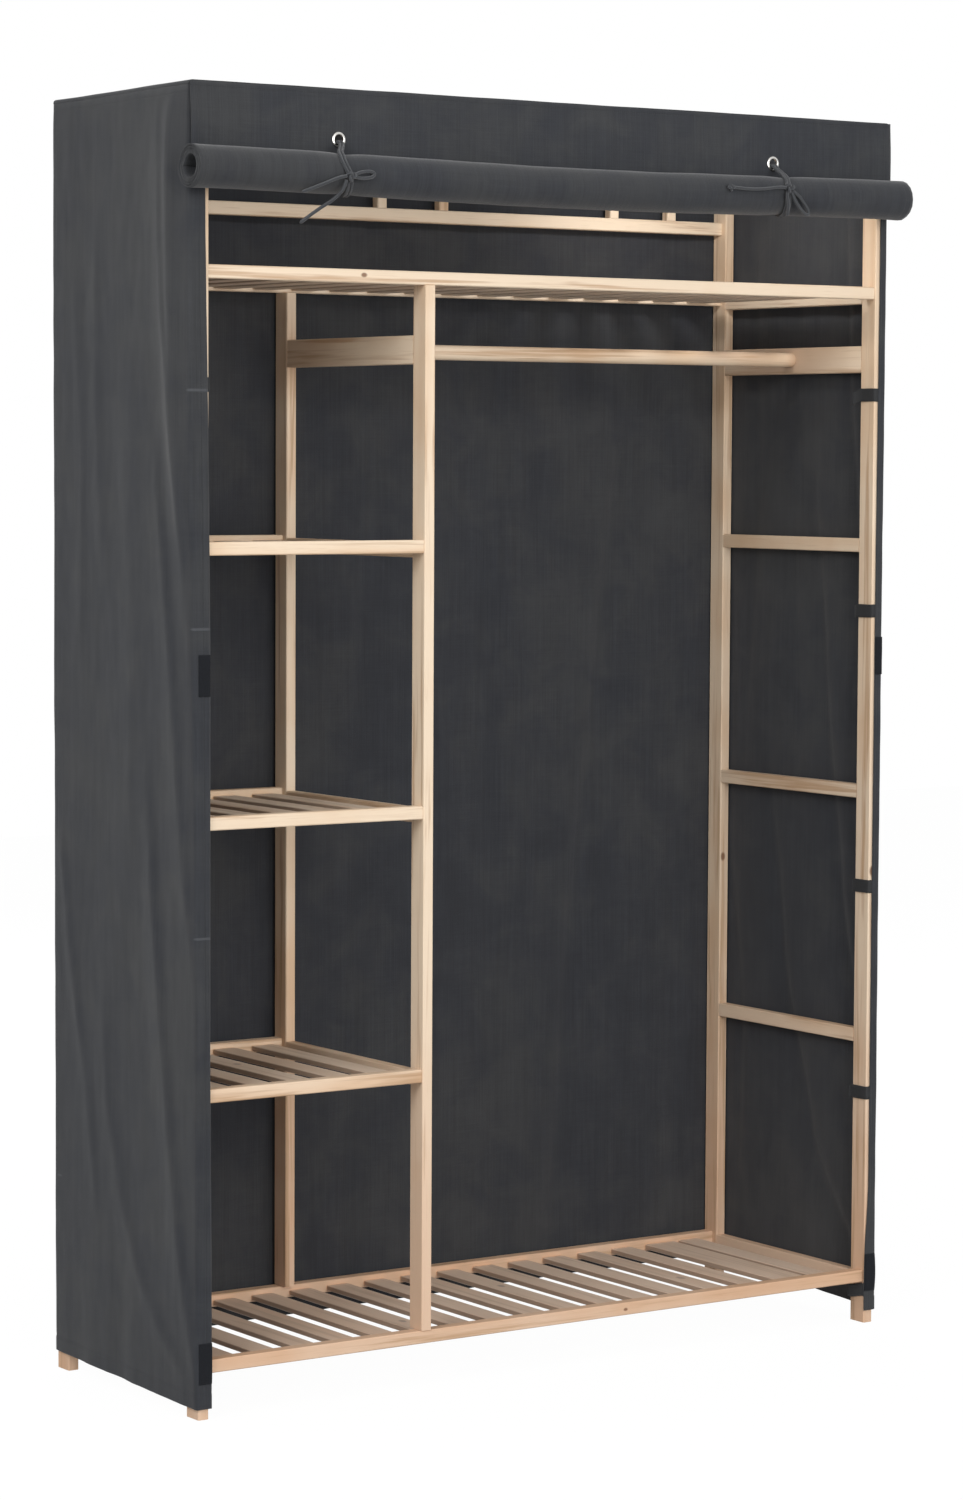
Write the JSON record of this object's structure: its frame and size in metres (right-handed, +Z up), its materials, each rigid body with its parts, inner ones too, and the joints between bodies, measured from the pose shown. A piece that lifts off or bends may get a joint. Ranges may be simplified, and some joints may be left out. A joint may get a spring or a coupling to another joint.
{
  "type": "portable fabric wardrobe",
  "caption": "Slatted pine wardrobe frame with small shelves beside a hanging space, under a fabric cover whose front curtain is rolled up and tied.",
  "frame": {"origin": "on the floor, at the middle of the box round the whole wardrobe, without the free tie ends", "axes": "+Z up, +X to the right seen from the front, +Y towards the back"},
  "size_m": [1.1388, 0.4461, 1.678],
  "materials": {
    "pine": "planed, unvarnished pine",
    "cover_cloth": "matt dark grey plain weave with fine slubs",
    "webbing": "black woven webbing",
    "eyelet_metal": "bright nickel plate",
    "tie_cord": "soft dark grey cord"
  },
  "bodies": {
    "root": {"back_panel": "cover_cloth", "base_deck": "pine", "fence_rail": "pine", "fence_stick_1": "pine", "fence_stick_2": "pine", "fence_stick_3": "pine", "fence_stick_4": "pine", "fence_stick_5": "pine", "fence_stick_6": "pine", "hanging_rod": "pine", "hat_shelf": "pine", "lower_shelf": "pine", "middle_shelf": "pine", "post_back_left": "pine", "post_back_middle": "pine", "post_back_right": "pine", "post_front_left": "pine", "post_front_middle": "pine", "post_front_right": "pine", "rod_board_middle": "pine", "rod_board_right": "pine", "rung_left_base": "pine", "rung_left_hat": "pine", "rung_left_lower": "pine", "rung_left_middle": "pine", "rung_left_top": "pine", "rung_left_upper": "pine", "rung_middle_lower": "pine", "rung_middle_middle": "pine", "rung_middle_upper": "pine", "rung_right_base": "pine", "rung_right_hat": "pine", "rung_right_lower": "pine", "rung_right_middle": "pine", "rung_right_top": "pine", "rung_right_upper": "pine", "side_panel_left": "cover_cloth", "side_panel_right": "cover_cloth", "strap_left_1": "webbing", "strap_left_2": "webbing", "strap_left_3": "webbing", "strap_left_4": "webbing", "strap_right_1": "webbing", "strap_right_2": "webbing", "strap_right_3": "webbing", "strap_right_4": "webbing", "top_panel": "cover_cloth", "top_rail_back": "pine", "top_rail_front": "pine", "upper_shelf": "pine"},
    "curtain": {"front_curtain": "cover_cloth", "eyelet_left": "eyelet_metal", "eyelet_right": "eyelet_metal", "tie_left": "tie_cord", "tie_right": "tie_cord", "tie_long_end_left": "tie_cord", "tie_long_end_right": "tie_cord", "tie_short_end_left": "tie_cord", "tie_short_end_right": "tie_cord"}
  },
  "joints": [
    {"name": "curtain_swing", "type": "hinge", "parent": "root", "child": "curtain", "pos_m": [0, -0.15865, 1.678], "axis": [-1, 0, 0], "range_deg": [0, 120]}
  ]
}
